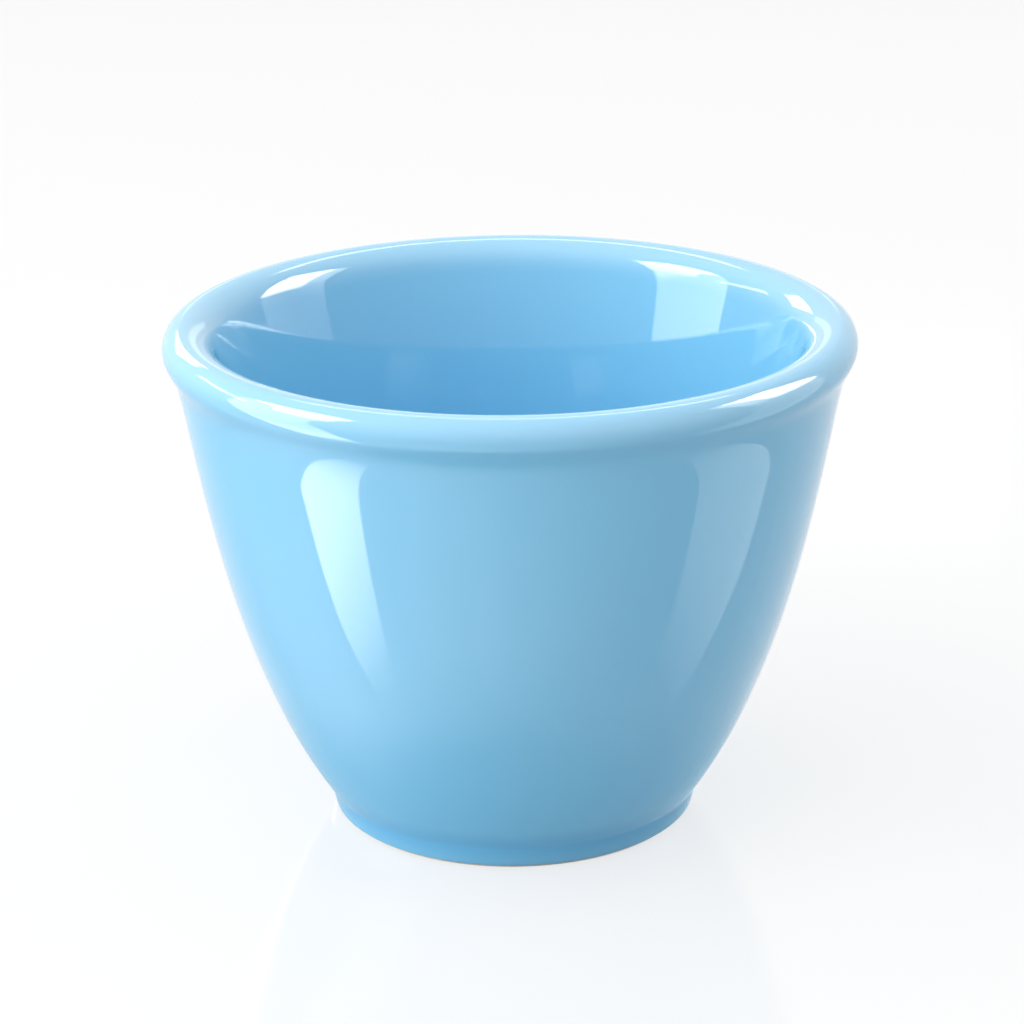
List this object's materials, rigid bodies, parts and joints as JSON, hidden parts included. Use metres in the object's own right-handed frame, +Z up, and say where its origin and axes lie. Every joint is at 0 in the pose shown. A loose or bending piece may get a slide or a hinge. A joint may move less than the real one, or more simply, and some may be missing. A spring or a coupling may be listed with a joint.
{
  "type": "arabic coffee cup",
  "caption": "Small handle-less arabic coffee cup with a thick flared lip, a tapering rounded wall and a low foot, in glossy sky-blue glaze.",
  "frame": {"origin": "on the table plane, under the middle of the cup", "axes": "+Z up along the cup's axis of revolution; X and Y are free because the cup is round"},
  "size_m": [0.067, 0.067, 0.05],
  "materials": {
    "fired_clay": "bare fired clay, pale, fine and dry, seen only on the ring that the cup stands on",
    "sky_blue_glaze": "thick glossy sky-blue glaze, slightly paler where it thins over the lip"
  },
  "bodies": {
    "root": {"clay_body": "fired_clay", "glaze_coat": "sky_blue_glaze", "base_glaze": "sky_blue_glaze"}
  },
  "joints": []
}
